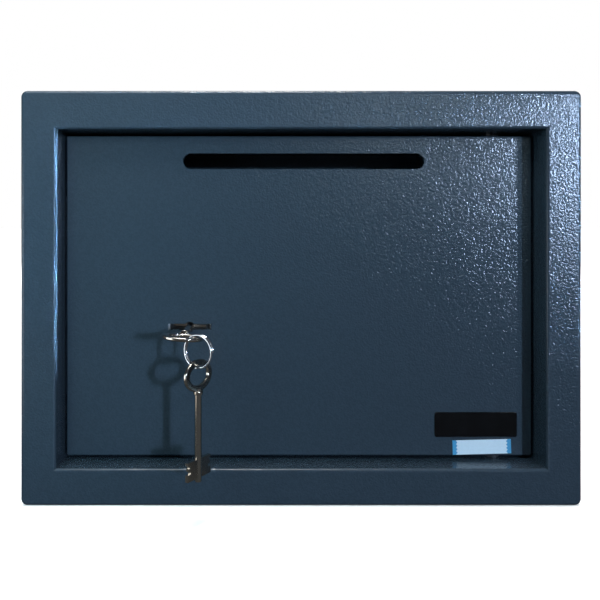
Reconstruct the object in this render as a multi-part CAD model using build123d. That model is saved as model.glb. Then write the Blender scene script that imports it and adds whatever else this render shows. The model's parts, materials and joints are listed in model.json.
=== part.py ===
from build123d import *
from math import cos, hypot, pi, radians, sin, sqrt
import os

# Drop slot safe, millimetres. X to the right, Y from the front to the back, Z up.
# The origin is the middle of the cabinet's base.

# Cabinet shell: a folded wrap, a front frame with its jamb, and a back pan
width = 350.0
height = 259.0
depth = 250.0
sheet = 2.0
corner_round = 4.0
face_round = 2.5
band_depth = 5.0
frame_side = 22.0
frame_top = 24.0
opening_bottom = 23.0
opening_round = 1.8
jamb_depth = 30.0
back_flange = 12.0
anchor_spacing = 200.0
anchor_radius = 6.0
base_anchor_y = 20.0
back_anchor_z = 150.0
mat_thickness = 3.0
mat_margin = 8.0
mat_punch_radius = 11.0

# Door plate, set back in the opening
recess = 19.0
door_thickness = 4.0
side_gap = 1.5
end_gap = 2.0
door_chamfer = 0.8
door_corner = 1.5

# Drop slot and the baffle chute behind it
slot_x = 3.0
slot_drop = 16.4
slot_length = 157.0
slot_height = 10.3
chute_sheet = 1.5
chute_side_room = 9.5
chute_floor_drop = 2.0
chute_roof_rise = 4.2
chute_depth = 52.0
ramp_fall = 10.0
outlet_gap = 16.0
chute_tail = 24.5
tooth_width = 8.0
tooth_depth = 5.0
foot_width = 12.0
foot_height = 24.0
stud_radius = 2.0
stud_length = 8.0
nut_radius = 4.0
nut_height = 3.2

# Hinge: two headed pins held in the cabinet, two lugs on the back of the door
hinge_inset = 24.0
hinge_setback = 7.5
pin_radius = 2.5
pin_fit = 0.05
pin_head_radius = 4.5
pin_head_height = 2.0
lug_radius = 6.0
lug_length = 18.0
pin_end_room = 2.0
washer_play = 0.1
bracket_width = 26.0
bracket_thickness = 3.0
bracket_reach = 16.0
bracket_front_reach = 12.0

# Lock: the key turns about the lock axis
key_inset = 80.1
key_rise = 83.9
case_wall = 1.5
case_left = 18.6
case_right = 41.4
case_below = 20.0
case_above = 34.0
case_depth = 18.0
case_post_radius = 3.2
case_post_inset = 4.5
case_screw_length = 10.8
curtain_radius = 13.0
curtain_flange_radius = 14.5
curtain_flange = 0.7
curtain_play = 0.1
turning_fit = 0.05
lever_count = 4
lever_thickness = 1.2
lever_pitch = 1.7
lever_room = 0.4
lever_pivot_dx = 28.0
lever_pivot_dz = 12.0
lever_pin_radius = 2.5
lever_reach = 38.0
lever_top = 22.0
lever_hub_radius = 6.5
lever_shoulder = 2.0
lever_lift_at_key = 4.4
window_drop = 3.1
window_rise = 1.2
spring_thickness = 0.4
spring_width = 0.9
spring_room = 0.3
spring_span = 32.0
spring_bow = 1.2
post_radius = 0.9
post_reach = 6.5
screw_radius = 2.0
screw_head_radius = 3.5
screw_head_height = 1.8
screw_play = 0.1

# Key: an oval bow, a round stem with a hollow end, and two stepped bits
bow_width = 24.5
bow_length = 19.0
bow_rim = 4.0
bow_thickness = 2.2
bow_edge_round = 0.8
stem_radius = 2.1
collar_radius = 2.9
collar_length = 2.4
key_length = 71.5
key_tip = 2.5
key_end_gap = 0.5
bit_length = 11.0
bit_thickness = 2.0
bit_steps = (10.5, 8.7, 9.6, 8.0, 10.5)
key_bore_radius = 1.3
key_bore_depth = 9.0
key_roll = 4.5
keyhole_width = 28.0
keyhole_radius = 3.5
keyhole_play = 0.15
curtain_slot_play = 0.25

# Split ring on the key's bow, and the spare key on the ring
ring_radius = 9.5
wire_radius = 0.6
ring_turn_gap = 0.45
ring_hang = 6.9
ring_angle = -31.5
spare_angle = 55.5
spare_play = 0.5

# Boltwork: two round bolts on a bar, thrown by the lock bolt
throw = 16.0
round_bolt_radius = 8.0
round_bolt_drop = 16.1
round_bolt_setback = 17.0
bolt_engagement = 4.0
bolt_edge = 1.0
guide_fit = 0.06
bar_thickness = 4.0
bar_gap = 20.0
bar_flange = 10.0
bar_flange_thickness = 3.0
bar_end = 11.0
bolt_plate_thickness = 2.5
bolt_plate_bottom = 6.5
bolt_plate_top = 19.0
stump_radius = 2.5
stump_dx = 1.4
stump_dz = 13.5
bolt_foot = 3.0
talon_width = 6.4
talon_top = 11.4
talon_lag = 0.6
bolt_screw_radius = 3.0
bolt_screw_head_radius = 5.0
bolt_screw_head_height = 4.0
bolt_screw_length = 12.0
hex_socket_radius = 2.6
guide_thickness = 3.0
guide_half_height = 13.0
guide_foot = 12.0
guide_rim = 1.0
guide_inset = 19.0
keeper_thickness = 3.0
keeper_depth = 23.0
keeper_end = 12.0
keeper_play = 0.5
stop_width = 5.0
stop_thickness = 3.4
stop_length = 130.0
stop_play = 0.3

# Boltwork pan and its inner cover
pan_inset = 10.5
pan_width = 151.0
pan_rise = 9.0
pan_room = 0.95
pan_depth = 30.0
pan_sheet = 1.5
pan_lip = 9.0
cover_thickness = 1.2

# Blank badge and blank label on the door
badge_width = 53.4
badge_height = 16.1
badge_thickness = 0.8
badge_inset = 36.7
badge_rise = 20.4
badge_corner = 1.2
label_width = 38.0
label_height = 9.3
label_thickness = 0.2
label_inset = 32.7
label_rise = 5.8
label_tilt = 1.5

# Places worked out from the sizes above
front = -depth / 2
back = depth / 2
opening_right = width / 2 - frame_side
opening_width = 2 * opening_right
opening_top = height - frame_top
opening_height = opening_top - opening_bottom
opening_middle = (opening_bottom + opening_top) / 2
jamb_rear = front + jamb_depth
door_front = front + recess
door_back = door_front + door_thickness
door_right = opening_right - side_gap
door_bottom = opening_bottom + end_gap
door_top = opening_top - end_gap
slot_z = door_top - slot_drop
chute_left = slot_x - slot_length / 2 - chute_side_room
chute_right = slot_x + slot_length / 2 + chute_side_room
chute_floor = slot_z - slot_height / 2 - chute_floor_drop
chute_roof = slot_z + slot_height / 2 + chute_roof_rise
chute_end = chute_floor - chute_tail
hinge_x = door_right - hinge_inset
hinge_y = door_front + hinge_setback
key_x = key_inset - door_right
key_z = door_bottom + key_rise
case_front = door_back
case_back = case_front + case_depth
case_floor = case_front + case_wall
cover_front = case_back - case_wall
curtain_back = case_floor + curtain_play + curtain_flange
lever_front = curtain_back + lever_room
pivot_x = key_x + lever_pivot_dx
pivot_z = key_z + lever_pivot_dz
tip_y = cover_front - key_end_gap
bow_y = tip_y - key_length + bow_length / 2
bit_back = tip_y - key_tip
bolt_plate_back = bit_back - key_end_gap
bolt_plate_front = bolt_plate_back - bolt_plate_thickness
round_bolt_y = door_back + round_bolt_setback
bolt_tip_x = -opening_right - keeper_thickness - bolt_engagement
bar_left = key_x - case_left - bar_gap - bar_thickness
bar_right = bar_left + bar_thickness
stump_x = key_x + stump_dx
stump_z = key_z + stump_dz
pan_left = pan_inset - door_right
pan_right = pan_left + pan_width
pan_bottom = door_bottom + pan_rise
pan_top = chute_end - pan_room
pan_back = door_back + pan_depth
upper_bolt_z = pan_top - round_bolt_drop
round_bolt_heights = (2 * key_z - upper_bolt_z, upper_bolt_z)
guide_x = pan_left + guide_inset
badge_x = door_right - badge_inset
badge_z = door_bottom + badge_rise
label_x = door_right - label_inset
label_z = door_bottom + label_rise
ring_pitch = 2 * wire_radius + ring_turn_gap


# Simple solids between limits
def block(x0, x1, y0, y1, z0, z1):
    return Pos((x0 + x1) / 2, (y0 + y1) / 2, (z0 + z1) / 2) * Box(x1 - x0, y1 - y0, z1 - z0)


def rod_x(y, z, radius, x0, x1):
    return Pos((x0 + x1) / 2, y, z) * Rot(0, 90, 0) * Cylinder(radius, x1 - x0)


def rod_y(x, z, radius, y0, y1):
    return Pos(x, (y0 + y1) / 2, z) * Rot(90, 0, 0) * Cylinder(radius, y1 - y0)


def rod_z(x, y, radius, z0, z1):
    return Pos(x, y, (z0 + z1) / 2) * Cylinder(radius, z1 - z0)


def wall(outline, y0, y1):
    """An outline drawn on X and Z, thickened from y0 back to y1."""
    return Pos(0, y0, 0) * extrude(Plane.XZ * outline, amount=y0 - y1)


def front_edges(solid, y):
    return solid.edges().filter_by_position(Axis.Y, y - 0.01, y + 0.01)


# Cabinet
def shell_outline(inset, radius):
    return Pos(0, height / 2) * RectangleRounded(width - 2 * inset, height - 2 * inset, radius)


def opening_outline(outset):
    size = (opening_width + 2 * outset, opening_height + 2 * outset)
    return Pos(0, opening_middle) * Rectangle(*size)


def make_front_frame():
    face = wall(shell_outline(0, corner_round), front, jamb_rear)
    face = fillet(front_edges(face, front), face_round)
    mouth = wall(opening_outline(0), front - 1, jamb_rear + 1)
    face -= mouth
    inner = [e for e in front_edges(face, front) if abs(e.center().X) <= opening_right + 1]
    inner = [e for e in inner if opening_bottom - 1 < e.center().Z < opening_top + 1]
    face = fillet(inner, opening_round)
    hollow = wall(shell_outline(sheet, corner_round - sheet), front + sheet, front + band_depth)
    hollow = fillet(front_edges(hollow, front + sheet), face_round - sheet)
    beyond = wall(shell_outline(-1, corner_round), front + band_depth, jamb_rear + 1)
    jamb = wall(opening_outline(sheet), front, jamb_rear + 1)
    face = face - (hollow + beyond - jamb)
    for z in (opening_bottom - sheet / 2, opening_top + sheet / 2):
        face -= rod_z(hinge_x, hinge_y, pin_radius + pin_fit, z - sheet, z + sheet)
    return face


def make_body_wrapper():
    tube = wall(shell_outline(0, corner_round), front + band_depth, back)
    tube -= wall(shell_outline(sheet, corner_round - sheet), front + band_depth - 1, back + 1)
    for x in (-anchor_spacing / 2, anchor_spacing / 2):
        tube -= rod_z(x, base_anchor_y, anchor_radius, -1, sheet + 1)
    return tube


def make_back_panel():
    pan = wall(shell_outline(sheet, corner_round), back - back_flange, back)
    pan -= wall(shell_outline(2 * sheet, corner_round - sheet), back - back_flange - 1, back - sheet)
    for x in (-anchor_spacing / 2, anchor_spacing / 2):
        pan -= rod_y(x, back_anchor_z, anchor_radius, back - 2 * sheet, back + 1)
    return pan


def make_floor_mat():
    x = width / 2 - sheet - mat_margin
    y0 = hinge_y + bracket_reach + mat_margin / 2
    y1 = back - back_flange - mat_margin / 2
    mat = block(-x, x, y0, y1, sheet, sheet + mat_thickness)
    mat = fillet(mat.edges().filter_by(Axis.Z), corner_round)
    for px in (-anchor_spacing / 2, anchor_spacing / 2):
        mat -= rod_z(px, base_anchor_y, mat_punch_radius, 0, 2 * sheet + mat_thickness)
    return mat


# Hinge; side is +1 at the top of the opening and -1 at its bottom
def hinge_levels(side):
    jamb = opening_top if side > 0 else opening_bottom
    door = door_top if side > 0 else door_bottom
    shell = height - sheet if side > 0 else sheet
    return jamb, door, shell


def span_z(a, b):
    return min(a, b), max(a, b)


def make_hinge_bracket(side):
    jamb, door, shell = hinge_levels(side)
    seat = jamb + side * sheet
    x0 = hinge_x - bracket_width / 2
    x1 = hinge_x + bracket_width / 2
    rear = hinge_y + bracket_reach
    level = span_z(seat, seat + side * bracket_thickness)
    plate = block(x0, x1, hinge_y - bracket_front_reach, rear, *level)
    web = block(x0, x1, rear - bracket_thickness, rear, *span_z(seat, shell))
    hole = rod_z(hinge_x, hinge_y, pin_radius + pin_fit, *span_z(jamb, shell))
    return plate + web - hole


def make_hinge_pin(side):
    jamb, door, shell = hinge_levels(side)
    seat = jamb + side * (sheet + bracket_thickness)
    tip = door - side * (lug_length - pin_end_room)
    shank = rod_z(hinge_x, hinge_y, pin_radius, *span_z(seat, tip))
    shank = chamfer(shank.edges().sort_by(Axis.Z)[0 if side > 0 else -1], pin_radius / 5)
    head = rod_z(hinge_x, hinge_y, pin_head_radius, *span_z(seat, seat + side * pin_head_height))
    return shank + head


def make_hinge_washer(side):
    jamb, door, shell = hinge_levels(side)
    z0, z1 = span_z(jamb, door + side * washer_play)
    return rod_z(hinge_x, hinge_y, pin_head_radius, z0, z1) - rod_z(
        hinge_x, hinge_y, pin_radius + pin_fit, z0 - 1, z1 + 1
    )


def make_hinge_lug(side):
    jamb, door, shell = hinge_levels(side)
    z0, z1 = span_z(door, door - side * lug_length)
    foot = block(hinge_x - lug_radius, hinge_x + lug_radius, door_back, hinge_y, z0, z1)
    barrel = rod_z(hinge_x, hinge_y, lug_radius, z0, z1)
    wide = 2 * lug_radius
    barrel -= block(hinge_x - wide, hinge_x + wide, hinge_y - wide, door_back, z0 - 1, z1 + 1)
    return foot + barrel - rod_z(hinge_x, hinge_y, pin_radius + pin_fit, z0 - 1, z1 + 1)


def make_bolt_keeper():
    z0 = round_bolt_heights[0] - round_bolt_radius - keeper_end
    z1 = round_bolt_heights[1] + round_bolt_radius + keeper_end
    outer = -opening_right - keeper_thickness
    plate = block(outer, -opening_right, jamb_rear, jamb_rear + keeper_depth, z0, z1)
    for z in round_bolt_heights:
        radius = round_bolt_radius + keeper_play
        plate -= rod_x(round_bolt_y, z, radius, outer - 1, 1 - opening_right)
    return plate


def make_door_stop():
    y = door_back + stop_play
    z = opening_middle
    half = stop_length / 2
    return block(-opening_right, -opening_right + stop_width, y, y + stop_thickness, z - half, z + half)


# Door
def keyhole_outline(angle, slot_width, slot_height_, radius):
    ends = RectangleRounded(slot_width, slot_height_, slot_height_ / 5)
    return Pos(key_x, key_z) * (Rot(0, 0, -angle) * ends + Circle(radius))


def make_door_plate():
    outline = RectangleRounded(2 * door_right, door_top - door_bottom, door_corner)
    plate = wall(Pos(0, (door_top + door_bottom) / 2) * outline, door_front, door_back)
    plate = chamfer(front_edges(plate, door_front), door_chamfer)
    plate -= wall(Pos(slot_x, slot_z) * SlotOverall(slot_length, slot_height), door_front - 1, door_back + 1)
    bit_rise = max(bit_steps) * sin(radians(key_roll)) + bit_thickness / 2
    hole = keyhole_outline(0, keyhole_width, 2 * (bit_rise + keyhole_play), keyhole_radius)
    return plate - wall(hole, door_front - 1, door_back + 1)


def make_badge_plate():
    outline = Pos(badge_x, badge_z) * RectangleRounded(badge_width, badge_height, badge_corner)
    badge = wall(outline, door_front - badge_thickness, door_front)
    return chamfer(front_edges(badge, door_front - badge_thickness), badge_thickness / 3)


def make_paper_label():
    outline = Pos(label_x, label_z) * Rot(0, 0, label_tilt) * Rectangle(label_width, label_height)
    return wall(outline, door_front - label_thickness, door_front)


# Drop chute: a ramp behind the slot, a roof, cheeks, and a toothed rear wall
def along_x(points, x0, x1):
    """A closed outline drawn on Y and Z, thickened from x0 to x1."""
    face = make_face(Polyline([(x0, y, z) for y, z in points], close=True))
    return extrude(face, amount=x1 - x0, dir=(1, 0, 0))


def make_drop_chute():
    x0, x1, floor, roof, tail = chute_left, chute_right, chute_floor, chute_roof, chute_end
    t = chute_sheet
    rear = door_back + chute_depth
    lip = rear - outlet_gap
    ramp_points = [(door_back, floor), (lip, floor - ramp_fall), (lip, floor - ramp_fall - t)]
    chute = along_x(ramp_points + [(door_back, floor - t)], x0, x1)
    chute += block(x0, x1, door_back, rear, roof, roof + t)
    chute += block(x0, x1, rear - t, rear, tail, roof)
    cheek = [(door_back, roof), (rear, roof), (rear, tail), (lip, tail), (door_back, floor - 2 * t)]
    chute += along_x(cheek, x0, x0 + t)
    chute += along_x(cheek, x1 - t, x1)
    foot_z = roof + t - foot_height
    chute += block(x0 - foot_width, x0 + t, door_back, door_back + t, foot_z, roof + t)
    chute += block(x1 - t, x1 + foot_width, door_back, door_back + t, foot_z, roof + t)
    for x, z in chute_stud_places():
        chute -= rod_y(x, z, stud_radius + screw_play, door_back - 1, door_back + 2 * t)
    for i in range(int((x1 - x0 - 2 * t) / tooth_width)):
        x = x0 + t + (i + 0.5) * tooth_width
        notch = Pos(x, rear, tail) * Rot(0, 45, 0) * Box(tooth_depth, 4 * t, tooth_depth)
        chute -= notch
    return chute


def chute_stud_places():
    xs = (chute_left - foot_width / 2, chute_right + foot_width / 2)
    zs = [chute_roof + chute_sheet - foot_height * share for share in (0.25, 0.75)]
    return [(x, z) for x in xs for z in zs]


def make_chute_studs():
    return [rod_y(x, z, stud_radius, door_back, door_back + stud_length) for x, z in chute_stud_places()]


def make_chute_nuts():
    y0 = door_back + chute_sheet
    nuts = []
    for x, z in chute_stud_places():
        outline = Pos(x, z) * (RegularPolygon(nut_radius, 6) - Circle(stud_radius + screw_play))
        nuts.append(wall(outline, y0, y0 + nut_height))
    return nuts


# Lock case and what it holds
def case_box(inset):
    x0 = key_x - case_left + inset
    x1 = key_x + case_right - inset
    return x0, x1, key_z - case_below + inset, key_z + case_above - inset


def case_screw_places():
    x0, x1, z0, z1 = case_box(case_post_inset)
    return [(x, z) for x in (x0, x1) for z in (z0, z1)]


def make_lock_case():
    x0, x1, z0, z1 = case_box(0)
    case = block(x0, x1, case_front, cover_front, z0, z1)
    x2, x3, z2, z3 = case_box(case_wall)
    case -= block(x2, x3, case_floor, cover_front + 1, z2, z3)
    for x, z in case_screw_places():
        case += rod_y(x, z, case_post_radius, case_front, cover_front)
        case -= rod_y(x, z, screw_radius + screw_play, case_floor, cover_front + 1)
    case -= rod_y(key_x, key_z, curtain_radius + turning_fit, case_front - 1, case_floor + 1)
    slot_bottom = key_z + bolt_plate_bottom - guide_fit
    slot_top = key_z + bolt_plate_top + guide_fit
    y0 = bolt_plate_front - guide_fit
    y1 = bolt_plate_back + guide_fit
    return case - block(x0 - 1, x2 + 0.01, y0, y1, slot_bottom, slot_top)


def make_lock_cover():
    x0, x1, z0, z1 = case_box(0)
    cover = block(x0, x1, cover_front, case_back, z0, z1)
    for x, z in case_screw_places():
        cover -= rod_y(x, z, screw_radius + screw_play, cover_front - 1, case_back + 1)
    return cover


def make_screw(x, z, seat, length):
    head = rod_y(x, z, screw_head_radius, seat, seat + screw_head_height)
    head = fillet(head.edges().sort_by(Axis.Y)[-1], screw_head_height / 2)
    cross = [(screw_radius * 2, screw_radius / 2), (screw_radius / 2, screw_radius * 2)]
    for a, b in cross:
        head -= Pos(x, seat + screw_head_height, z) * Box(a, screw_head_height, b)
    return head + rod_y(x, z, screw_radius, seat - length, seat)


def make_lock_screws():
    return [make_screw(x, z, case_back, case_screw_length) for x, z in case_screw_places()]


def make_lock_curtain():
    boss = rod_y(key_x, key_z, curtain_radius, case_front + curtain_play, case_floor + curtain_play)
    flange_front = case_floor + curtain_play
    flange = rod_y(key_x, key_z, curtain_flange_radius, flange_front, curtain_back)
    play = 2 * curtain_slot_play
    size = (2 * max(bit_steps) + play, bit_thickness + play, stem_radius + curtain_slot_play)
    return boss + flange - wall(keyhole_outline(key_roll, *size), case_front - 1, curtain_back + 1)


def make_lever_pin():
    return rod_y(pivot_x, pivot_z, lever_pin_radius, case_floor, cover_front)


def make_lock_post():
    return rod_y(key_x, key_z, post_radius, cover_front - post_reach, cover_front)


def lever_y(i):
    return lever_front + i * lever_pitch


def make_lever(i):
    belly = key_z + bit_steps[i] - lever_lift_at_key
    left = pivot_x - lever_reach
    right = key_x + lever_pivot_dx / 2
    top = key_z + lever_top
    shoulder = pivot_z - lever_hub_radius
    arm_points = [(left, belly), (right, belly), (right + lever_shoulder, shoulder), (pivot_x, shoulder)]
    arm_points += [(pivot_x, pivot_z + lever_hub_radius), (right, top), (left, top)]
    arm = make_face(Polyline(arm_points, close=True)) + Pos(pivot_x, pivot_z) * Circle(lever_hub_radius)
    x0 = stump_x - 2 * stump_radius
    x1 = stump_x + throw + stump_radius + lever_room
    z0 = stump_z - stump_radius - window_drop
    z1 = stump_z + stump_radius + window_rise
    window = Pos((x0 + x1) / 2, (z0 + z1) / 2) * RectangleRounded(x1 - x0, z1 - z0, lever_thickness)
    arm -= window + Pos(pivot_x, pivot_z) * Circle(lever_pin_radius + turning_fit)
    return wall(arm, lever_y(i), lever_y(i) + lever_thickness)


def make_lever_springs():
    """One bent leaf spring over each lever, from the case's top wall."""
    x0, x1, z0, z1 = case_box(case_wall)
    start = (pivot_x, z1 - spring_thickness / 2)
    end = (pivot_x - spring_span, key_z + lever_top + spring_room + spring_thickness / 2)
    middle = (pivot_x - spring_span / 2, (start[1] + end[1]) / 2 + spring_bow)
    leaf = SlotArc(ThreePointArc(start, middle, end), spring_thickness)
    springs = []
    for i in range(lever_count):
        y = lever_y(i) + (lever_thickness - spring_width) / 2
        springs.append(wall(leaf, y, y + spring_width))
    return springs


# Key in its own frame: X across the bow and bits, Y from the bow to the tip
def make_key_blank():
    half = (bow_width / 2, bow_length / 2)
    bow = Pos(0, 0, -bow_thickness / 2) * extrude(
        Ellipse(*half) - Ellipse(half[0] - bow_rim, half[1] - bow_rim), amount=bow_thickness
    )
    bow = fillet(bow.edges().filter_by(GeomType.ELLIPSE), bow_edge_round)
    tip = key_length - bow_length / 2
    stem_start = bow_length / 2 - bow_rim / 2
    stem = Pos(0, (stem_start + tip) / 2, 0) * Rot(90, 0, 0) * Cylinder(stem_radius, tip - stem_start)
    stem = chamfer(stem.edges().sort_by(Axis.Y)[-1], stem_radius / 5)
    collar_y = bow_length / 2 + collar_length / 4
    collar = Pos(0, collar_y, 0) * Rot(90, 0, 0) * Cylinder(collar_radius, collar_length)
    collar = fillet(collar.edges().filter_by(GeomType.CIRCLE), collar_length / 5)
    key = bow + stem + collar
    y = tip - key_tip - bit_length
    for i, reach in enumerate(bit_steps):
        step = lever_pitch if i < lever_count else bit_length - lever_count * lever_pitch
        key += Pos(0, y + step / 2, 0) * Box(2 * reach, step, bit_thickness)
        y += step
    bore_y = tip - key_bore_depth / 2
    return key - Pos(0, bore_y, 0) * Rot(90, 0, 0) * Cylinder(key_bore_radius, key_bore_depth)


key_place = Pos(key_x, bow_y, key_z) * Rot(0, key_roll, 0)


def make_key():
    return key_place * make_key_blank()


# The ring hangs from the middle of the bow's rim, where the rim faces ring_angle
def ring_direction():
    return cos(radians(ring_angle)), sin(radians(ring_angle))


def ring_pivot():
    ux, uy = ring_direction()
    a = (bow_width - bow_rim) / 2
    b = (bow_length - bow_rim) / 2
    reach = hypot(a * ux, b * uy)
    x = a * a * ux / reach
    y = b * b * uy / reach
    roll = radians(key_roll)
    return key_x + x * cos(roll), bow_y + y, key_z - x * sin(roll)


def ring_centre():
    x, y, z = ring_pivot()
    return x, y, z - ring_hang


def ring_path():
    """Half turns of one wire: level, climbing one pitch, level, then a climbing quarter."""
    r = ring_radius
    low = -0.75 * ring_pitch
    mid = low + ring_pitch
    quarter = r * sqrt(0.5)
    arcs = [
        ThreePointArc((r, 0, low), (0, r, low), (-r, 0, low)),
        ThreePointArc((-r, 0, low), (0, -r, low + ring_pitch / 2), (r, 0, mid)),
        ThreePointArc((r, 0, mid), (0, r, mid), (-r, 0, mid)),
        ThreePointArc(
            (-r, 0, mid),
            (-quarter, -quarter, mid + ring_pitch * (1 - sqrt(0.5)) / 2),
            (0, -r, mid + ring_pitch / 2),
        ),
    ]
    return Wire(arcs)


def ring_self_gap(path):
    """The least air gap between stretches of the wire a third of a turn or more apart."""
    count = 280
    points = [path @ (i / count) for i in range(count + 1)]
    apart = int(count * (2 * pi * ring_radius / 3) / path.length)
    pairs = ((i, j) for i in range(count + 1) for j in range(i + apart, count + 1))
    return min((points[i] - points[j]).length for i, j in pairs) - 2 * wire_radius


def make_key_ring():
    path = ring_path()
    print("key ring: least gap between turns %.3f mm" % ring_self_gap(path))
    section = Plane(origin=path @ 0, z_dir=path % 0) * Circle(wire_radius)
    ux, uy = ring_direction()
    place = Plane(origin=ring_centre(), x_dir=(ux, uy, 0), z_dir=(-uy, ux, 0))
    return place.location * Rot(180, 0, 0) * sweep(section, path=path)


def make_spare_key():
    x, y, z = ring_centre()
    wire_top = z - ring_radius + wire_radius
    bow_z = wire_top + spare_play - (bow_length / 2 - bow_rim)
    turn = radians(spare_angle)
    place = Plane(origin=(x, y, bow_z), x_dir=(cos(turn), sin(turn), 0), z_dir=(-sin(turn), cos(turn), 0))
    return place.location * make_key_blank()


# Boltwork
def make_lock_bolt():
    x0, x1, z0, z1 = case_box(case_wall)
    end = x1 - throw - lever_room
    y0 = bolt_plate_front
    y1 = bolt_plate_back
    plate = block(bar_right, end, y0, y1, key_z + bolt_plate_bottom, key_z + bolt_plate_top)
    talon_x = key_x - throw + talon_lag
    half = talon_width / 2
    bottom = key_z + bolt_plate_bottom
    plate -= block(talon_x - half, talon_x + half, y0 - 1, y1 + 1, bottom - 1, key_z + talon_top)
    radius = lever_pin_radius + 3 * turning_fit
    plate -= block(pivot_x - throw, pivot_x, y0 - 1, y1 + 1, pivot_z - radius, pivot_z + radius)
    for x in (pivot_x - throw, pivot_x):
        plate -= rod_y(x, pivot_z, radius, y0 - 1, y1 + 1)
    stump = rod_y(stump_x, stump_z, stump_radius, lever_front, y0)
    foot = bar_right + bolt_foot
    foot_top = key_z + bolt_plate_top
    return plate + stump + block(bar_right, foot, y0, round_bolt_y, bottom, foot_top)


def make_bolt_bar():
    z0 = round_bolt_heights[0] - bar_end
    z1 = round_bolt_heights[1] + bar_end
    y0 = round_bolt_y - round_bolt_radius
    y1 = round_bolt_y + round_bolt_radius
    leg = block(bar_left, bar_right, y0, y1, z0, z1)
    flange = block(bar_right, bar_right + bar_flange, y1 - bar_flange_thickness, y1, z0, z1)
    bar = leg + flange
    for z in round_bolt_heights:
        bar -= rod_x(round_bolt_y, z, bolt_screw_radius + screw_play, bar_left - 1, bar_right + 1)
        room = bolt_screw_head_radius + screw_play
        bar -= rod_x(round_bolt_y, z, room, bar_right, bar_right + bar_flange + 1)
    return bar


def make_round_bolt(z):
    bolt = rod_x(round_bolt_y, z, round_bolt_radius, bolt_tip_x, bar_left)
    bolt = chamfer(bolt.edges().sort_by(Axis.X)[0], bolt_edge)
    hole = bolt_screw_radius + screw_play
    return bolt - rod_x(round_bolt_y, z, hole, bar_left - bolt_screw_length - screw_play, bar_left)


def make_bolt_screws():
    screws = []
    for z in round_bolt_heights:
        head = rod_x(round_bolt_y, z, bolt_screw_head_radius, bar_right, bar_right + bolt_screw_head_height)
        socket = Pos(bar_right + bolt_screw_head_height, round_bolt_y, z) * Rot(0, 90, 0)
        head -= socket * extrude(RegularPolygon(hex_socket_radius, 6), amount=-bolt_screw_head_height / 2)
        shank = rod_x(round_bolt_y, z, bolt_screw_radius, bar_left - bolt_screw_length, bar_right)
        screws.append(head + shank)
    return screws


def make_bolt_guides():
    guides = []
    for z in round_bolt_heights:
        z0 = z - guide_half_height
        z1 = z + guide_half_height
        rear = round_bolt_y + round_bolt_radius + guide_rim
        ear = block(guide_x, guide_x + guide_thickness, door_back, rear, z0, z1)
        foot = block(guide_x - guide_foot, guide_x, door_back, door_back + guide_thickness, z0, z1)
        radius = round_bolt_radius + guide_fit
        hole = rod_x(round_bolt_y, z, radius, guide_x - 1, guide_x + guide_thickness + 1)
        guides.append(ear + foot - hole)
    return guides


# Pan over the boltwork, with inward lips that take the cover's screws
def make_door_pan():
    pan = block(pan_left, pan_right, door_back, pan_back, pan_bottom, pan_top)
    t = pan_sheet
    pan -= block(pan_left + t, pan_right - t, door_back - 1, pan_back - t, pan_bottom + t, pan_top - t)
    x0, x1, z0, z1 = pan_left + pan_lip, pan_right - pan_lip, pan_bottom + pan_lip, pan_top - pan_lip
    pan -= block(x0, x1, pan_back - 2 * t, pan_back + 1, z0, z1)
    for z in round_bolt_heights:
        pan -= rod_x(round_bolt_y, z, round_bolt_radius + guide_fit, pan_left - 1, pan_left + t + 1)
    for x, z in cover_screw_places():
        pan -= rod_y(x, z, screw_radius + screw_play, pan_back - 2 * t, pan_back + 1)
    return pan


def cover_screw_places():
    inset = pan_lip / 2 + pan_sheet / 2
    xs = (pan_left + inset, (pan_left + pan_right) / 2, pan_right - inset)
    return [(x, z) for x in xs for z in (pan_bottom + inset, pan_top - inset)]


def make_inner_cover():
    outline = Pos((pan_left + pan_right) / 2, (pan_bottom + pan_top) / 2) * RectangleRounded(
        pan_right - pan_left, pan_top - pan_bottom, pan_sheet
    )
    cover = wall(outline, pan_back, pan_back + cover_thickness)
    for x, z in cover_screw_places():
        cover -= rod_y(x, z, screw_radius + screw_play, pan_back - 1, pan_back + cover_thickness + 1)
    return cover


def make_cover_screws():
    seat = pan_back + cover_thickness
    length = cover_thickness + 2 * pan_sheet
    return [make_screw(x, z, seat, length) for x, z in cover_screw_places()]


def all_nodes():
    nodes = {
        "body_wrapper": make_body_wrapper(),
        "front_frame": make_front_frame(),
        "back_panel": make_back_panel(),
        "floor_mat": make_floor_mat(),
        "bolt_keeper": make_bolt_keeper(),
        "door_stop": make_door_stop(),
        "door_plate": make_door_plate(),
        "badge_plate": make_badge_plate(),
        "paper_label": make_paper_label(),
        "drop_chute": make_drop_chute(),
        "chute_studs": make_chute_studs(),
        "chute_nuts": make_chute_nuts(),
        "lock_case": make_lock_case(),
        "lock_cover": make_lock_cover(),
        "lock_screws": make_lock_screws(),
        "lock_curtain": make_lock_curtain(),
        "lever_pin": make_lever_pin(),
        "lock_post": make_lock_post(),
        "lever_springs": make_lever_springs(),
        "key": make_key(),
        "key_ring": make_key_ring(),
        "spare_key": make_spare_key(),
        "lock_bolt": make_lock_bolt(),
        "bolt_bar": make_bolt_bar(),
        "bolt_screws": make_bolt_screws(),
        "bolt_guides": make_bolt_guides(),
        "door_pan": make_door_pan(),
        "inner_cover": make_inner_cover(),
        "cover_screws": make_cover_screws(),
    }
    for name, side in (("top", 1), ("bottom", -1)):
        nodes["hinge_bracket_" + name] = make_hinge_bracket(side)
        nodes["hinge_pin_" + name] = make_hinge_pin(side)
        nodes["hinge_washer_" + name] = make_hinge_washer(side)
        nodes["hinge_lug_" + name] = make_hinge_lug(side)
    for name, z in zip(("lower", "upper"), round_bolt_heights):
        nodes["round_bolt_" + name] = make_round_bolt(z)
    for i in range(lever_count):
        nodes["lever_%d" % (i + 1)] = make_lever(i)
    return nodes


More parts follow.
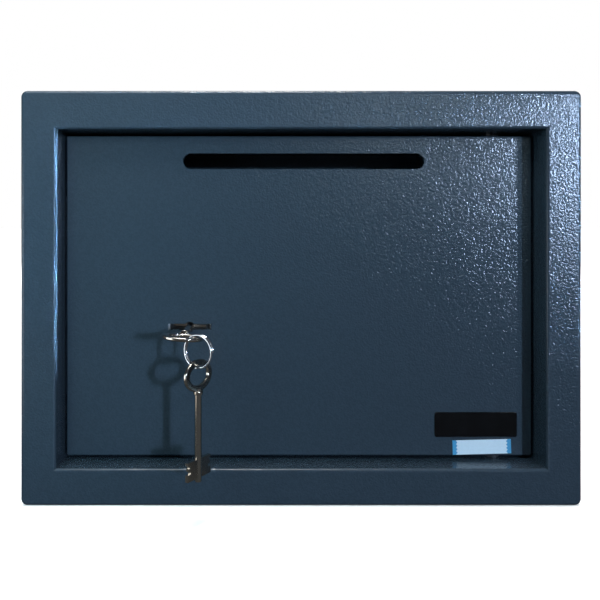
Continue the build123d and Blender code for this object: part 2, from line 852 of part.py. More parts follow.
def export_all():
    os.makedirs("parts", exist_ok=True)
    for name, shape in all_nodes().items():
        pieces = shape if isinstance(shape, list) else [shape]
        solids = [solid for piece in pieces for solid in piece.solids()]
        whole = solids[0] if len(solids) == 1 else Compound(children=solids)
        export_step(whole, "parts/" + name + ".step")
    print("lock axis", key_x, key_z, "hinge", hinge_x, hinge_y)
    print("ring pivot", ring_pivot(), "ring centre", ring_centre())
    print("lever pivot", pivot_x, pivot_z)


export_all()
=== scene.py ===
import json
from math import cos, pi, radians, sin

import bmesh
import bpy
from mathutils import Matrix, Vector


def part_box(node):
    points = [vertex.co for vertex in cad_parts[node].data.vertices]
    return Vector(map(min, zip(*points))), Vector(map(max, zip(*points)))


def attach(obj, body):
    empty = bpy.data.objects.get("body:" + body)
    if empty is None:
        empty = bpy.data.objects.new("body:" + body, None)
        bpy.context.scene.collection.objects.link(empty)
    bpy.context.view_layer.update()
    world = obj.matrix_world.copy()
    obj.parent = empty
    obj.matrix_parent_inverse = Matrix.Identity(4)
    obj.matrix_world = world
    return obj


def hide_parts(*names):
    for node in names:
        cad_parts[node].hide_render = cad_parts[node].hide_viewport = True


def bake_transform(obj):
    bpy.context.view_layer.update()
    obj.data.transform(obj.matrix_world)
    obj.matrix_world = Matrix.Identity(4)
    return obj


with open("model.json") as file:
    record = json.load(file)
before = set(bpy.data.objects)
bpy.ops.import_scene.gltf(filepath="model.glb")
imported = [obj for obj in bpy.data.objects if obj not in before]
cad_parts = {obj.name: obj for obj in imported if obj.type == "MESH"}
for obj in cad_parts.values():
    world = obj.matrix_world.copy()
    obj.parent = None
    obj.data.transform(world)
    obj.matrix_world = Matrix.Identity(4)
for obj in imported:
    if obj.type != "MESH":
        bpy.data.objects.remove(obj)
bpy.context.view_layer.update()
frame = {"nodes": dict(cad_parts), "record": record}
NODES = frame["nodes"]
SLOT_OF = {part["node"]: part["material_slot"] for part in frame["record"]["subparts"]}
BODIES = frame["record"]["behaviour"]["bodies"]
BODY_OF = {node: body for body, nodes in BODIES.items() for node in nodes}
# Nodes that are shown by a copy with round shading; an edge sharper than CREASE stays sharp
SMOOTHED = [
    "front_frame", "body_wrapper", "door_plate", "badge_plate", "key", "spare_key", "key_ring",
    "round_bolt_lower", "round_bolt_upper", "hinge_lug_top", "hinge_lug_bottom", "lever_springs",
]
CREASE = radians(32)
# Vertices closer than this are one, in metres
WELD = 0.000001
# Root and tip of each leaf spring, on the lock case and on the levers; the springs' copy is baked
# in place, not attached to a body
SPRING_ROOT = (-0.0434, -0.096, 0.1412)
SPRING_TIP = (-0.0754, -0.096, 0.1412)
FLEXING = {"lever_springs": ("door", "levers", SPRING_ROOT, SPRING_TIP)}
# Nodes that are blackened, whatever the look of their slot; on the zinc lock cover the black is
# painted shade
BLACKENED_AND_SHADED_NODES = [
    "lock_curtain", "lock_cover", "hinge_pin_top", "hinge_pin_bottom",
    "hinge_washer_top", "hinge_washer_bottom",
]

bl_info = {
    "name": "Drop Slot Safe",
    "version": (1, 0, 0),
    "blender": (4, 5, 0),
    "location": "3D View > Sidebar > Safe",
    "description": "Finishes a packed drop slot safe: paint, metals, felt, badge and studio",
    "category": "Object",
}


# Settings that a user would change
class PaintSettings(bpy.types.PropertyGroup):
    """The powder coat on every sheet steel piece."""

    colour: bpy.props.FloatVectorProperty(
        name="Coat colour", description="Base colour of the powder coat", subtype="COLOR",
        size=3, min=0, max=1, default=(0.0270, 0.0422, 0.0582),
    )
    peel_size: bpy.props.FloatProperty(
        name="Peel size", description="Spacing of the dimples in the coat's orange peel",
        unit="LENGTH", default=0.0011, min=0.0003, max=0.02, precision=4,
    )
    peel_depth: bpy.props.FloatProperty(
        name="Peel depth", description="Depth of the coat's dimples",
        unit="LENGTH", default=0.00018, min=0, max=0.002, precision=5,
    )
    roughness: bpy.props.FloatProperty(
        name="Roughness", description="Roughness of the coat between its dimples",
        subtype="FACTOR", default=0.15, min=0, max=1,
    )
    gloss: bpy.props.FloatProperty(
        name="Gloss", description="Specular level of the coat",
        subtype="FACTOR", default=0.32, min=0, max=1,
    )


class MetalSettings(bpy.types.PropertyGroup):
    """Keys, ring, bolts and lock parts."""

    nickel: bpy.props.FloatVectorProperty(
        name="Key nickel", description="Reflection colour of the keys", subtype="COLOR",
        size=3, min=0, max=1, default=(0.47, 0.435, 0.38),
    )
    chrome: bpy.props.FloatVectorProperty(
        name="Chrome", description="Reflection colour of the round bolts and the ring",
        subtype="COLOR", size=3, min=0, max=1, default=(0.74, 0.75, 0.77),
    )
    zinc: bpy.props.FloatVectorProperty(
        name="Zinc", description="Reflection colour of zinc plated parts", subtype="COLOR",
        size=3, min=0, max=1, default=(0.52, 0.54, 0.56),
    )
    # Near black of the blackened steel, also used as painted shade on the zinc lock cover behind
    # the keyhole
    oxide: bpy.props.FloatVectorProperty(
        name="Oiled steel",
        description="Reflection colour of the blackened steel in the keyhole and hinges",
        subtype="COLOR", size=3, min=0, max=1, default=(0.008, 0.008, 0.009),
    )
    brass: bpy.props.FloatVectorProperty(
        name="Brass", description="Reflection colour of the levers", subtype="COLOR",
        size=3, min=0, max=1, default=(0.78, 0.56, 0.24),
    )


class TrimSettings(bpy.types.PropertyGroup):
    """Badge, label and floor mat."""

    badge: bpy.props.FloatVectorProperty(
        name="Badge", description="Colour of the blank badge", subtype="COLOR",
        size=3, min=0, max=1, default=(0.0025, 0.0027, 0.0033),
    )
    label_film: bpy.props.FloatVectorProperty(
        name="Label", description="Colour of the blank label's middle", subtype="COLOR",
        size=3, min=0, max=1, default=(0.62, 0.76, 0.85),
    )
    label_ends: bpy.props.FloatVectorProperty(
        name="Label ends", description="Colour of the label's two ends", subtype="COLOR",
        size=3, min=0, max=1, default=(0.05, 0.28, 0.50),
    )
    felt: bpy.props.FloatVectorProperty(
        name="Felt", description="Colour of the floor mat", subtype="COLOR",
        size=3, min=0, max=1, default=(0.045, 0.045, 0.05),
    )


class StageSettings(bpy.types.PropertyGroup):
    """Camera, floor and lights."""

    camera_place: bpy.props.FloatVectorProperty(
        name="Camera place", description="Where the camera stands", subtype="TRANSLATION",
        unit="LENGTH", size=3, default=(-0.0304, -0.545, 0.175),
    )
    lens: bpy.props.FloatProperty(
        name="Lens", description="Focal length in millimetres on a 36 mm sensor",
        default=40.48, min=10, max=200,
    )
    shift_x: bpy.props.FloatProperty(
        name="Shift X", description="Sideways shift of the frame, as a share of its width",
        default=0.0793,
    )
    shift_y: bpy.props.FloatProperty(
        name="Shift Y", description="Upward shift of the frame, as a share of its width",
        default=-0.1247,
    )
    brightness: bpy.props.FloatProperty(
        name="Brightness", description="Share of each window's and soft box's own power",
        subtype="FACTOR", default=1.0, min=0, max=4,
    )
    overhead: bpy.props.FloatProperty(
        name="Overhead light", description="Strength of the even light from above",
        default=3.5, min=0,
    )
    floor: bpy.props.FloatVectorProperty(
        name="Floor", description="Colour of the floor", subtype="COLOR",
        size=3, min=0, max=1, default=(0.98, 0.965, 0.955),
    )
    wall: bpy.props.FloatVectorProperty(
        name="Wall", description="Colour of the plain wall behind the floor", subtype="COLOR",
        size=3, min=0, max=1, default=(1.0, 1.0, 1.0),
    )
    room: bpy.props.FloatVectorProperty(
        name="Room", description="Colour of the room that the metal reflects", subtype="COLOR",
        size=3, min=0, max=1, default=(0.050, 0.058, 0.070),
    )


# Node tree helpers
def add(tree, kind, values=None, **options):
    """One node of that kind, with its options and its input values set."""
    node = tree.nodes.new("ShaderNode" + kind)
    for name, value in options.items():
        setattr(node, name, value)
    for name, value in (values or {}).items():
        node.inputs[name].default_value = value
    return node


def join(tree, source, target):
    """A link from one socket to another."""
    tree.links.new(source, target)


def new_group(name, inputs, outputs):
    """A shader node group: inputs are (name, socket type, default), outputs are names of floats."""
    group = bpy.data.node_groups.new(name, "ShaderNodeTree")
    for label, kind, value in inputs:
        socket = group.interface.new_socket(label, in_out="INPUT", socket_type=kind)
        if value is not None:
            socket.default_value = value
    for label in outputs:
        group.interface.new_socket(label, in_out="OUTPUT", socket_type="NodeSocketFloat")
    return group, group.nodes.new("NodeGroupInput"), group.nodes.new("NodeGroupOutput")


def calc(tree, operation, a, b=None):
    """One Math node; a and b are sockets or numbers."""
    node = add(tree, "Math", operation=operation)
    for socket, value in zip(node.inputs, (a, b)):
        if value is None:
            continue
        if isinstance(value, (int, float)):
            socket.default_value = value
        else:
            join(tree, value, socket)
    return node.outputs[0]


def ramp(tree, value, low, high):
    """value from low to high, spread over 0 to 1 with soft ends."""
    node = add(tree, "MapRange", interpolation_type="SMOOTHSTEP")
    node.inputs["From Min"].default_value = low
    node.inputs["From Max"].default_value = high
    join(tree, value, node.inputs["Value"])
    return node.outputs["Result"]


# Shared effects
# Share of the frequency, noise detail and weight of each wave of the orange peel
PEEL_WAVES = ((1.0, 1.0, 1.0), (2.1, 1.0, 0.25), (0.40, 1.0, 0.45))
# Heights of the peel between which its tint goes from dark to pale
PEEL_TINT = (0.65, 1.05)
# Turn and squeeze of each run of scratches, and the noise levels at a scratch's edge
SCRATCH_RUNS = ((0.35, 22.0), (-0.9, 34.0))
SCRATCH_EDGE = (0.50, 0.68)
# Dust lies where the normal points up at least this far, in patches of this noise
DUST_UP = (0.55, 0.98)
DUST_PATCH = (0.30, 0.75)


def make_peel_group():
    """Orange peel of a thick powder coat: dimples of one spacing, with finer and broader waves."""
    group, source, sink = new_group(
        "Orange peel",
        [("Vector", "NodeSocketVector", None), ("Frequency", "NodeSocketFloat", 900.0)],
        ["Height", "Tint", "Gloss"],
    )
    height = None
    for share, detail, weight in PEEL_WAVES:
        wave = add(group, "TexNoise", {"Detail": detail, "Roughness": 0.4})
        join(group, source.outputs["Vector"], wave.inputs["Vector"])
        scale = calc(group, "MULTIPLY", source.outputs["Frequency"], share)
        join(group, scale, wave.inputs["Scale"])
        part = calc(group, "MULTIPLY", wave.outputs["Fac"], weight)
        height = calc(group, "ADD", height, part) if height else part
    cloud = add(group, "TexNoise", {"Scale": 9.0, "Detail": 2.0})
    join(group, source.outputs["Vector"], cloud.inputs["Vector"])
    join(group, height, sink.inputs["Height"])
    join(group, ramp(group, height, *PEEL_TINT), sink.inputs["Tint"])
    join(group, cloud.outputs["Fac"], sink.inputs["Gloss"])
    return group


def make_scratch_group():
    """Fine handling scratches: stretched noise in two directions."""
    group, source, sink = new_group(
        "Fine scratches",
        [("Vector", "NodeSocketVector", None), ("Frequency", "NodeSocketFloat", 300.0)],
        ["Height", "Mask"],
    )
    lines = []
    for turn, squeeze in SCRATCH_RUNS:
        place = add(group, "Mapping", {
            "Rotation": (turn, turn * 0.6, turn), "Scale": (1.0, squeeze, 1.0),
        })
        join(group, source.outputs["Vector"], place.inputs["Vector"])
        noise = add(group, "TexNoise", {"Detail": 3.0, "Roughness": 0.65})
        join(group, place.outputs["Vector"], noise.inputs["Vector"])
        join(group, source.outputs["Frequency"], noise.inputs["Scale"])
        lines.append(ramp(group, noise.outputs["Fac"], *SCRATCH_EDGE))
    both = calc(group, "MAXIMUM", lines[0], lines[1])
    join(group, both, sink.inputs["Mask"])
    join(group, calc(group, "SUBTRACT", 1.0, both), sink.inputs["Height"])
    return group


def make_dust_group():
    """A thin film of dust that settles on faces that look up."""
    group, source, sink = new_group(
        "Settled dust",
        [("Vector", "NodeSocketVector", None), ("Amount", "NodeSocketFloat", 0.3)],
        ["Mask"],
    )
    geometry = add(group, "NewGeometry")
    split = add(group, "SeparateXYZ")
    join(group, geometry.outputs["Normal"], split.inputs[0])
    noise = add(group, "TexNoise", {"Scale": 34.0, "Detail": 5.0, "Roughness": 0.62})
    join(group, source.outputs["Vector"], noise.inputs["Vector"])
    up = ramp(group, split.outputs["Z"], *DUST_UP)
    patch = ramp(group, noise.outputs["Fac"], *DUST_PATCH)
    film = calc(group, "MULTIPLY", up, patch)
    join(group, calc(group, "MULTIPLY", film, source.outputs["Amount"]), sink.inputs["Mask"])
    return group


GROUP_MAKERS = {
    "Orange peel": make_peel_group, "Fine scratches": make_scratch_group,
    "Settled dust": make_dust_group,
}


def group_node(tree, name, vector, **values):
    """A shared effect placed in a material, made the first time that it is asked for."""
    node = tree.nodes.new("ShaderNodeGroup")
    node.node_tree = bpy.data.node_groups.get(name) or GROUP_MAKERS[name]()
    join(tree, vector, node.inputs["Vector"])
    for label, value in values.items():
        node.inputs[label].default_value = value
    return node


# Materials
# The coat's darkest and palest share of its colour, and how far its roughness strays
COAT_TINTS = (0.94, 1.06)
COAT_STRAY = (-0.02, 0.03)
DUST_AMOUNT = 0.02
DUST_COLOUR = (0.30, 0.31, 0.32)
# For each plated slot: material, setting, least and most roughness, and the scratches'
# frequency and depth
PLATES = {
    "nickel_key": ("key_nickel", "nickel", 0.12, 0.22, 420.0, 0.0000015),
    "chromed_steel": ("bolt_chrome", "chrome", 0.08, 0.20, 260.0, 0.000001),
    "lever_brass": ("lever_brass", "brass", 0.26, 0.45, 300.0, 0.000002),
}
# The blank label: its roll on the door, the height and slope of its teeth, and the shares of its
# half width between which its middle turns into its ends
LABEL_ROLL = radians(1.5)
LABEL_TOOTH = 0.0011
LABEL_TOOTH_SLOPE = 0.9
LABEL_ENDS = (0.87, 0.885)
# Radius of a speck of lint, as a share of the specks' spacing
LINT_RADIUS = 0.045


def new_material(name, colour, roughness, metallic=0.0):
    """A Principled material; returns it with its tree, its shader and the object coordinates."""
    material = bpy.data.materials.new(name)
    material.use_nodes = True
    tree = material.node_tree
    shader = tree.nodes["Principled BSDF"]
    shader.inputs["Base Color"].default_value = (*colour, 1.0)
    shader.inputs["Roughness"].default_value = roughness
    shader.inputs["Metallic"].default_value = metallic
    material.diffuse_color = (*colour, 1.0)
    place = add(tree, "TexCoord").outputs["Object"]
    return material, tree, shader, place


def bump(tree, shader, height, distance, strength=1.0):
    """Bump of that depth in metres on the shader's normal."""
    node = add(tree, "Bump", {"Distance": distance, "Strength": strength})
    join(tree, height, node.inputs["Height"])
    join(tree, node.outputs["Normal"], shader.inputs["Normal"])


def two_colours(tree, factor, first, second):
    """first where factor is 0 and second where it is 1; each is a colour or a socket."""
    node = add(tree, "Mix", data_type="RGBA", clamp_factor=True)
    join(tree, factor, node.inputs[0])
    for socket, value in ((node.inputs[6], first), (node.inputs[7], second)):
        if isinstance(value, bpy.types.NodeSocket):
            join(tree, value, socket)
        else:
            socket.default_value = (*value, 1.0)
    return node.outputs[2]


def shade(colour, share):
    """A darker or lighter colour, by a share of each channel."""
    return tuple(min(1.0, channel * share) for channel in colour)


def vary(tree, shader, mask, low, high):
    """The shader's roughness between low and high by a mask."""
    node = add(tree, "MapRange", {"To Min": low, "To Max": high})
    join(tree, mask, node.inputs["Value"])
    join(tree, node.outputs["Result"], shader.inputs["Roughness"])


def make_coat(settings):
    """Dark blue-grey powder coat with an orange peel, satin to semi-gloss."""
    material, tree, shader, place = new_material("powder_coat", settings.colour, settings.roughness)
    shader.inputs["Specular IOR Level"].default_value = settings.gloss
    peel = group_node(tree, "Orange peel", place, Frequency=1.0 / settings.peel_size)
    dust = group_node(tree, "Settled dust", place, Amount=DUST_AMOUNT)
    dark, pale = (shade(settings.colour, share) for share in COAT_TINTS)
    coat = two_colours(tree, peel.outputs["Tint"], dark, pale)
    dusty = two_colours(tree, dust.outputs["Mask"], coat, DUST_COLOUR)
    join(tree, dusty, shader.inputs["Base Color"])
    least, most = (settings.roughness + stray for stray in COAT_STRAY)
    vary(tree, shader, peel.outputs["Gloss"], least, most)
    bump(tree, shader, peel.outputs["Height"], settings.peel_depth)
    return material


def make_plate(name, colour, low, high, frequency, depth):
    """A plated or bare metal with fine scratches that open its gloss."""
    material, tree, shader, place = new_material(name, colour, low, metallic=1.0)
    scratch = group_node(tree, "Fine scratches", place, Frequency=frequency)
    tone = two_colours(tree, scratch.outputs["Mask"], colour, shade(colour, 0.80))
    join(tree, tone, shader.inputs["Base Color"])
    vary(tree, shader, scratch.outputs["Mask"], low, high)
    bump(tree, shader, scratch.outputs["Height"], depth, 0.6)
    return material


def make_zinc(colour):
    """Bright zinc plate: cloudy, with fine scratches."""
    material, tree, shader, place = new_material("zinc_plate", colour, 0.34, metallic=1.0)
    cloud = add(tree, "TexNoise", {"Scale": 60.0, "Detail": 5.0, "Roughness": 0.65})
    join(tree, place, cloud.inputs["Vector"])
    scratch = group_node(tree, "Fine scratches", place, Frequency=140.0)
    tone = two_colours(tree, cloud.outputs["Fac"], shade(colour, 0.78), shade(colour, 1.12))
    join(tree, tone, shader.inputs["Base Color"])
    mixed = calc(tree, "ADD", cloud.outputs["Fac"], scratch.outputs["Mask"])
    vary(tree, shader, mixed, 0.24, 0.52)
    bump(tree, shader, scratch.outputs["Height"], 0.000002, 0.5)
    return material


def make_oxide_and_shade(colour):
    """Oiled black oxide on steel: near black, with worn grey patches; on the zinc lock cover the
    same black is painted shade.
    """
    material, tree, shader, place = new_material("black_oxide", colour, 0.50)
    wear = add(tree, "TexNoise", {"Scale": 240.0, "Detail": 5.0, "Roughness": 0.6})
    join(tree, place, wear.inputs["Vector"])
    patches = ramp(tree, wear.outputs["Fac"], 0.55, 0.75)
    join(tree, two_colours(tree, patches, colour, shade(colour, 2.2)), shader.inputs["Base Color"])
    vary(tree, shader, wear.outputs["Fac"], 0.34, 0.60)
    bump(tree, shader, wear.outputs["Fac"], 0.00002)
    return material


def make_badge_gloss(colour):
    """Gloss black lacquer with a few hairlines."""
    material, tree, shader, place = new_material("badge_gloss", colour, 0.10)
    shader.inputs["Specular IOR Level"].default_value = 0.3
    scratch = group_node(tree, "Fine scratches", place, Frequency=90.0)
    tone = two_colours(tree, scratch.outputs["Mask"], colour, shade(colour, 1.6))
    join(tree, tone, shader.inputs["Base Color"])
    vary(tree, shader, scratch.outputs["Mask"], 0.08, 0.13)
    bump(tree, shader, scratch.outputs["Height"], 0.000001, 0.4)
    return material


def make_label_film(settings):
    """Blank printed film: a pale middle, two blue ends with a toothed edge."""
    low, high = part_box("paper_label")
    centre = (low + high) / 2
    half = (high.x - low.x) / 2
    material, tree, shader, place = new_material("label_film", settings.label_film, 0.32)
    local = add(tree, "Mapping", {"Location": -centre})
    turned = add(tree, "Mapping", {"Rotation": (0.0, LABEL_ROLL, 0.0)})
    join(tree, place, local.inputs["Vector"])
    join(tree, local.outputs["Vector"], turned.inputs["Vector"])
    split = add(tree, "SeparateXYZ")
    join(tree, turned.outputs["Vector"], split.inputs[0])
    across = calc(tree, "ABSOLUTE", split.outputs["X"])
    teeth = calc(tree, "PINGPONG", split.outputs["Z"], LABEL_TOOTH)
    edge = calc(tree, "ADD", across, calc(tree, "MULTIPLY", teeth, LABEL_TOOTH_SLOPE))
    ends = ramp(tree, edge, *(half * share for share in LABEL_ENDS))
    grain = add(tree, "TexNoise", {"Scale": 900.0, "Detail": 3.0})
    join(tree, place, grain.inputs["Vector"])
    pale = settings.label_film
    film = two_colours(tree, grain.outputs["Fac"], shade(pale, 0.88), pale)
    join(tree, two_colours(tree, ends, film, settings.label_ends), shader.inputs["Base Color"])
    vary(tree, shader, grain.outputs["Fac"], 0.26, 0.40)
    bump(tree, shader, grain.outputs["Fac"], 0.00001)
    return material


def make_felt(colour):
    """Needled felt: short tangled fibres with lint."""
    material, tree, shader, place = new_material("needled_felt", colour, 0.95)
    shader.inputs["Sheen Weight"].default_value = 0.35
    shader.inputs["Sheen Roughness"].default_value = 0.5
    fibre = add(tree, "TexNoise", {
        "Scale": 1400.0, "Detail": 6.0, "Roughness": 0.75, "Distortion": 1.6,
    })
    matt = add(tree, "TexNoise", {"Scale": 70.0, "Detail": 4.0, "Roughness": 0.6})
    lint = add(tree, "TexVoronoi", {"Scale": 260.0, "Randomness": 1.0}, feature="F1")
    for node in (fibre, matt, lint):
        join(tree, place, node.inputs["Vector"])
    clumps = calc(tree, "MULTIPLY", matt.outputs["Fac"], 0.5)
    weave = calc(tree, "ADD", fibre.outputs["Fac"], clumps)
    tone = two_colours(tree, ramp(tree, weave, 0.5, 1.0), shade(colour, 0.55), shade(colour, 1.8))
    specks = calc(tree, "LESS_THAN", lint.outputs["Distance"], LINT_RADIUS)
    join(tree, two_colours(tree, specks, tone, shade(colour, 5.0)), shader.inputs["Base Color"])
    vary(tree, shader, matt.outputs["Fac"], 0.88, 1.0)
    bump(tree, shader, weave, 0.0006)
    return material


def dress(slot_name, material):
    """Give a material to every CAD node of that slot; curved ones get a smoothed copy."""
    names = [name for name in NODES if SLOT_OF[name] == slot_name]
    dress_nodes(names, material)
    for name in names:
        if name in SMOOTHED:
            smoothed_copy(name, material)


def dress_nodes(names, material):
    """Give a material to these CAD nodes, with their meshes left as they are."""
    for name in names:
        for slot in NODES[name].material_slots:
            slot.material = material


# Mesh helpers
def smoothed_copy(name, material):
    """A copy of a CAD node whose curves are shaded round and whose creases stay sharp."""
    work = bmesh.new()
    work.from_mesh(NODES[name].data)
    bmesh.ops.remove_doubles(work, verts=work.verts, dist=WELD)
    for edge in work.edges:
        edge.smooth = edge.is_manifold and edge.calc_face_angle() < CREASE
    for face in work.faces:
        face.material_index = 0
    mesh = bpy.data.meshes.new("finished_" + name)
    work.to_mesh(mesh)
    work.free()
    mesh.shade_smooth()
    mesh.materials.clear()
    mesh.materials.append(material)
    piece = bpy.data.objects.new("finished_" + name, mesh)
    bpy.context.scene.collection.objects.link(piece)
    even = piece.modifiers.new("even shading", "WEIGHTED_NORMAL")
    even.keep_sharp = True
    if name in FLEXING:
        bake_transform(piece)
    else:
        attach(piece, BODY_OF[name])
    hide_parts(name)


def finish_piece(name, work, material):
    """A flat-shaded object from a bmesh."""
    bmesh.ops.recalc_face_normals(work, faces=work.faces)
    mesh = bpy.data.meshes.new(name)
    work.to_mesh(mesh)
    work.free()
    mesh.shade_flat()
    mesh.materials.append(material)
    piece = bpy.data.objects.new(name, mesh)
    bpy.context.scene.collection.objects.link(piece)
    return piece


# The floor mat, punched over the two anchor holes in the cabinet's floor
ANCHORS = ((-0.100, 0.020), (0.100, 0.020))
PUNCH_RADIUS = 0.011
PUNCH_SEGMENTS = 36
MAT_CORNER = 0.004
CORNER_STEPS = 6
# Width of the soft edge, as a share of the felt's thickness
MAT_EDGE = 0.3


def make_mat_mesh(low, high):
    """The lower face of the mat, with rounded corners and its two punched holes."""
    work = bmesh.new()
    left, right = low.x + MAT_CORNER, high.x - MAT_CORNER
    front, back = low.y + MAT_CORNER, high.y - MAT_CORNER
    rim = []
    for quarter, (x, y) in enumerate(((right, back), (left, back), (left, front), (right, front))):
        for step in range(CORNER_STEPS + 1):
            angle = (quarter + step / CORNER_STEPS) * pi / 2
            place = (x + MAT_CORNER * cos(angle), y + MAT_CORNER * sin(angle), low.z)
            rim.append(work.verts.new(place))
    edges = [work.edges.new((a, b)) for a, b in zip(rim, rim[1:] + rim[:1])]
    for centre in ANCHORS:
        disc = bmesh.ops.create_circle(
            work, cap_ends=False, radius=PUNCH_RADIUS, segments=PUNCH_SEGMENTS,
            matrix=Matrix.Translation((*centre, low.z)),
        )
        edges += list(dict.fromkeys(edge for vert in disc["verts"] for edge in vert.link_edges))
    bmesh.ops.triangle_fill(work, use_beauty=True, edges=edges)
    return work


class SAFE_OT_floor_mat(bpy.types.Operator):
    """Lay the felt floor mat in the cabinet"""

    bl_idname = "safe.floor_mat"
    bl_label = "Floor mat"

    def execute(self, context):
        low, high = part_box("floor_mat")
        thickness = high.z - low.z
        work = make_mat_mesh(low, high)
        upper = bmesh.ops.extrude_face_region(work, geom=list(work.faces))
        risen = [item for item in upper["geom"] if isinstance(item, bmesh.types.BMVert)]
        bmesh.ops.translate(work, vec=(0, 0, thickness), verts=risen)
        material = make_felt(context.scene.safe_trim.felt)
        mat = finish_piece("felt_mat", work, material)
        soft = mat.modifiers.new("soft edge", "BEVEL")
        soft.width = thickness * MAT_EDGE
        soft.segments = 3
        soft.limit_method = "ANGLE"
        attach(mat, "cabinet")
        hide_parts("floor_mat")
        return {"FINISHED"}


class SAFE_OT_paint(bpy.types.Operator):
    """Coat the sheet steel pieces"""

    bl_idname = "safe.paint"
    bl_label = "Powder coat"

    def execute(self, context):
        dress("painted_steel", make_coat(context.scene.safe_paint))
        return {"FINISHED"}


class SAFE_OT_metals(bpy.types.Operator):
    """Plate the keys, ring, bolts and lock parts"""

    bl_idname = "safe.metals"
    bl_label = "Metals"

    def execute(self, context):
        metal = context.scene.safe_metal
        for slot_name, (name, setting, *look) in PLATES.items():
            dress(slot_name, make_plate(name, getattr(metal, setting), *look))
        dress("zinc_steel", make_zinc(metal.zinc))
        # Black oxide on the curtain and hinges; on the zinc lock cover the black is painted shade
        dress_nodes(BLACKENED_AND_SHADED_NODES, make_oxide_and_shade(metal.oxide))
        return {"FINISHED"}


class SAFE_OT_badge_and_label(bpy.types.Operator):
    """Finish the blank badge and the blank label"""

    bl_idname = "safe.badge_and_label"
    bl_label = "Badge and label"

    def execute(self, context):
        trim = context.scene.safe_trim
        dress("badge_black", make_badge_gloss(trim.badge))
        dress("label_paper", make_label_film(trim))
        return {"FINISHED"}


# Camera, floor and lights
SENSOR_WIDTH = 36.0
FLOOR_SIZE = 30.0
# Share of the floor's colour that lights the safe, and the glow that keeps the floor white
FLOOR_RETURN = 0.05
FLOOR_GLOW = 0.2
# Spread of the overhead light and of a beam
SUN_ANGLE = radians(12)
BEAM = radians(3)
MIDDLE = (0.0, -0.10, 0.13)
# Place, aim, size, watts, colour and use of each light; its use is light, shine (seen only in
# reflections), both or beam (a narrow light)
LIGHTS = {
    "key window": ((1.47, -3.00, 0.54), MIDDLE, (0.08, 0.22), 78.0, (0.66, 0.80, 1.0), "light"),
    "sheen window": ((3.85, -6.00, 1.03), MIDDLE, (0.30, 1.20), 480.0, (0.52, 0.70, 1.0), "shine"),
    "sheen tail": ((1.50, -6.00, 1.45), MIDDLE, (0.60, 0.50), 20.0, (0.72, 0.90, 1.0), "shine"),
    "edge window": (
        (0.75, -0.134, 0.175), (-0.15, -0.134, 0.175), (0.006, 0.16),
        0.32, (0.46, 0.70, 1.0), "beam",
    ),
    "right fill": (
        (1.20, 0.25, 0.45), (0.17, 0.05, 0.13), (0.5, 0.5),
        8.0, (0.85, 0.93, 1.0), "light",
    ),
    "left fill": (
        (-0.55, -0.36, 0.127), (-0.10, -0.12, 0.127), (0.35, 0.25),
        1.1, (0.85, 0.93, 1.0), "shine",
    ),
    "floor glow": (
        (-0.42, -0.33, 0.005), (-0.42, -0.329, 1.0), (0.26, 0.30),
        0.3, (1.0, 0.95, 0.88), "shine",
    ),
    "near left": (
        (-0.40, -0.30, 0.20), (-0.15, -0.12, 0.15), (0.10, 0.30),
        0.25, (0.54, 0.88, 1.0), "light",
    ),
    "close left": (
        (-0.175, -0.27, 0.165), (-0.165, -0.12, 0.15), (0.03, 0.26),
        0.10, (0.54, 0.88, 1.0), "light",
    ),
    "upper left": (
        (-0.24, -0.40, 0.30), (-0.14, -0.12, 0.22), (0.12, 0.12),
        0.52, (0.68, 0.95, 1.0), "light",
    ),
    "rim": (
        (-0.02, -0.235, 0.365), (0.0, -0.125, 0.25), (0.40, 0.05),
        0.29, (0.95, 0.97, 1.0), "light",
    ),
    "top strip": ((0.0, -2.0, 1.0), MIDDLE, (1.4, 0.35), 0.8, (0.90, 0.95, 1.0), "both"),
    "ceiling": (
        (-0.42, -0.35, 1.5), (-0.42, -0.30, 0.0), (0.5, 0.8),
        8.0, (0.90, 0.96, 1.0), "shine",
    ),
    "back left": ((-1.4, 1.9, 1.1), (0.0, 0.0, 0.12), (1.2, 1.2), 40.0, (1.0, 1.0, 1.0), "light"),
    "back right": ((1.4, 1.9, 1.1), (0.0, 0.0, 0.12), (1.2, 1.2), 40.0, (1.0, 1.0, 1.0), "light"),
}


def make_camera(settings):
    """The camera that took the photo, as far as its lines tell."""
    data = bpy.data.cameras.new("photo camera")
    data.lens = settings.lens
    data.sensor_width = SENSOR_WIDTH
    data.shift_x = settings.shift_x
    data.shift_y = settings.shift_y
    data.clip_start = 0.01
    camera = bpy.data.objects.new("photo camera", data)
    camera.location = settings.camera_place
    camera.rotation_euler = (pi / 2, 0.0, 0.0)
    bpy.context.scene.collection.objects.link(camera)
    bpy.context.scene.camera = camera


def make_floor(colour):
    """A wide pale floor that sends little of its light back up at the safe."""
    work = bmesh.new()
    bmesh.ops.create_grid(work, x_segments=1, y_segments=1, size=FLOOR_SIZE)
    material, tree, shader, place = new_material("floor_paper", colour, 0.85)
    shader.inputs["Specular IOR Level"].default_value = 0.0
    grain = add(tree, "TexNoise", {"Scale": 40.0, "Detail": 4.0})
    join(tree, place, grain.inputs["Vector"])
    tone = two_colours(tree, grain.outputs["Fac"], shade(colour, 0.99), shade(colour, 1.01))
    seen = add(tree, "LightPath").outputs["Is Camera Ray"]
    shown = two_colours(tree, seen, shade(colour, FLOOR_RETURN), tone)
    join(tree, shown, shader.inputs["Base Color"])
    join(tree, calc(tree, "MULTIPLY", seen, FLOOR_GLOW), shader.inputs["Emission Strength"])
    shader.inputs["Emission Color"].default_value = (1.0, 1.0, 1.0, 1.0)
    finish_piece("studio_floor", work, material)


def make_light(name, place, aim, size, watts, colour, use):
    """A rectangular soft light that looks at aim."""
    data = bpy.data.lights.new(name, "AREA")
    data.shape = "RECTANGLE"
    data.size, data.size_y = size
    data.energy = watts
    data.color = colour
    lamp = place_light(name, data, place, aim)
    if use == "beam":
        data.spread = BEAM
    lamp.visible_glossy = use in ("shine", "both")
    lamp.visible_diffuse = use != "shine"


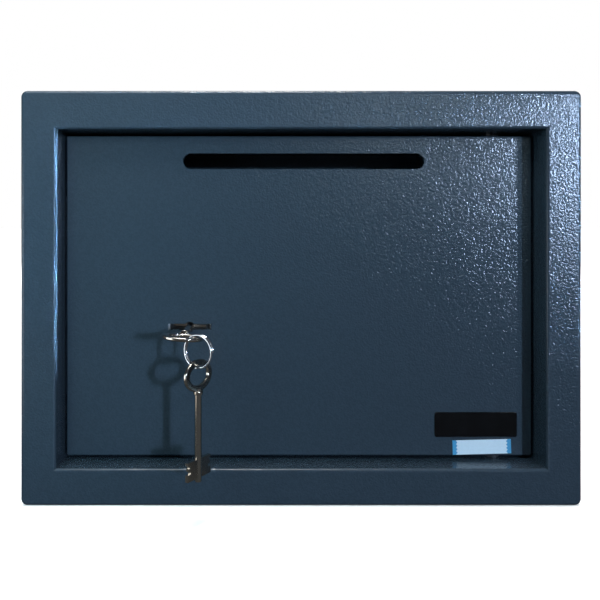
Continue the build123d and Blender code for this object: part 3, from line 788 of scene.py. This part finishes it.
def make_overhead(strength):
    """A wide even light from straight above."""
    data = bpy.data.lights.new("overhead", "SUN")
    data.energy = strength
    data.angle = SUN_ANGLE
    place_light("overhead", data, (0.0, 0.0, 3.0), (0.0, 0.001, 0.0))


def place_light(name, data, place, aim):
    """A light object that looks at aim and that the camera doesn't see."""
    lamp = bpy.data.objects.new(name, data)
    lamp.location = place
    lamp.visible_camera = False
    lamp.rotation_euler = (Vector(aim) - Vector(place)).to_track_quat("-Z", "Y").to_euler()
    bpy.context.scene.collection.objects.link(lamp)
    return lamp


def make_world(settings):
    """A pale wall behind the floor, and a darker room for the metal to reflect."""
    world = bpy.data.worlds.new("studio")
    world.use_nodes = True
    tree = world.node_tree
    seen = add(tree, "LightPath").outputs["Is Camera Ray"]
    shown = two_colours(tree, seen, tuple(settings.room), tuple(settings.wall))
    join(tree, shown, tree.nodes["Background"].inputs["Color"])
    bpy.context.scene.world = world


class SAFE_OT_stage(bpy.types.Operator):
    """Set up the camera, the pale floor and the studio lights"""

    bl_idname = "safe.stage"
    bl_label = "Studio"

    def execute(self, context):
        stage = context.scene.safe_stage
        make_camera(stage)
        make_floor(stage.floor)
        for name, (place, aim, size, watts, colour, use) in LIGHTS.items():
            make_light(name, place, aim, size, watts * stage.brightness, colour, use)
        make_overhead(stage.overhead)
        make_world(stage)
        context.scene.view_settings.view_transform = "Standard"
        return {"FINISHED"}


class SAFE_PT_panel(bpy.types.Panel):
    """The safe's settings and its steps"""

    bl_label = "Drop Slot Safe"
    bl_idname = "SAFE_PT_panel"
    bl_space_type = "VIEW_3D"
    bl_region_type = "UI"
    bl_category = "Safe"

    def draw(self, context):
        for name, group in SETTINGS:
            box = self.layout.box()
            settings = getattr(context.scene, name)
            for key in group.__annotations__:
                box.prop(settings, key)
        for operator in OPERATORS:
            self.layout.operator(operator.bl_idname)


SETTINGS = (
    ("safe_paint", PaintSettings),
    ("safe_metal", MetalSettings),
    ("safe_trim", TrimSettings),
    ("safe_stage", StageSettings),
)
OPERATORS = (
    SAFE_OT_paint,
    SAFE_OT_metals,
    SAFE_OT_badge_and_label,
    SAFE_OT_floor_mat,
    SAFE_OT_stage,
)


def register():
    for name, group in SETTINGS:
        bpy.utils.register_class(group)
        setattr(bpy.types.Scene, name, bpy.props.PointerProperty(type=group))
    for operator in OPERATORS:
        bpy.utils.register_class(operator)
    bpy.utils.register_class(SAFE_PT_panel)


def unregister():
    bpy.utils.unregister_class(SAFE_PT_panel)
    for operator in reversed(OPERATORS):
        bpy.utils.unregister_class(operator)
    for name, group in reversed(SETTINGS):
        delattr(bpy.types.Scene, name)
        bpy.utils.unregister_class(group)


def main():
    register()
    bpy.ops.safe.paint()
    bpy.ops.safe.metals()
    bpy.ops.safe.badge_and_label()
    bpy.ops.safe.floor_mat()
    bpy.ops.safe.stage()


if __name__ == "__main__":
    main()
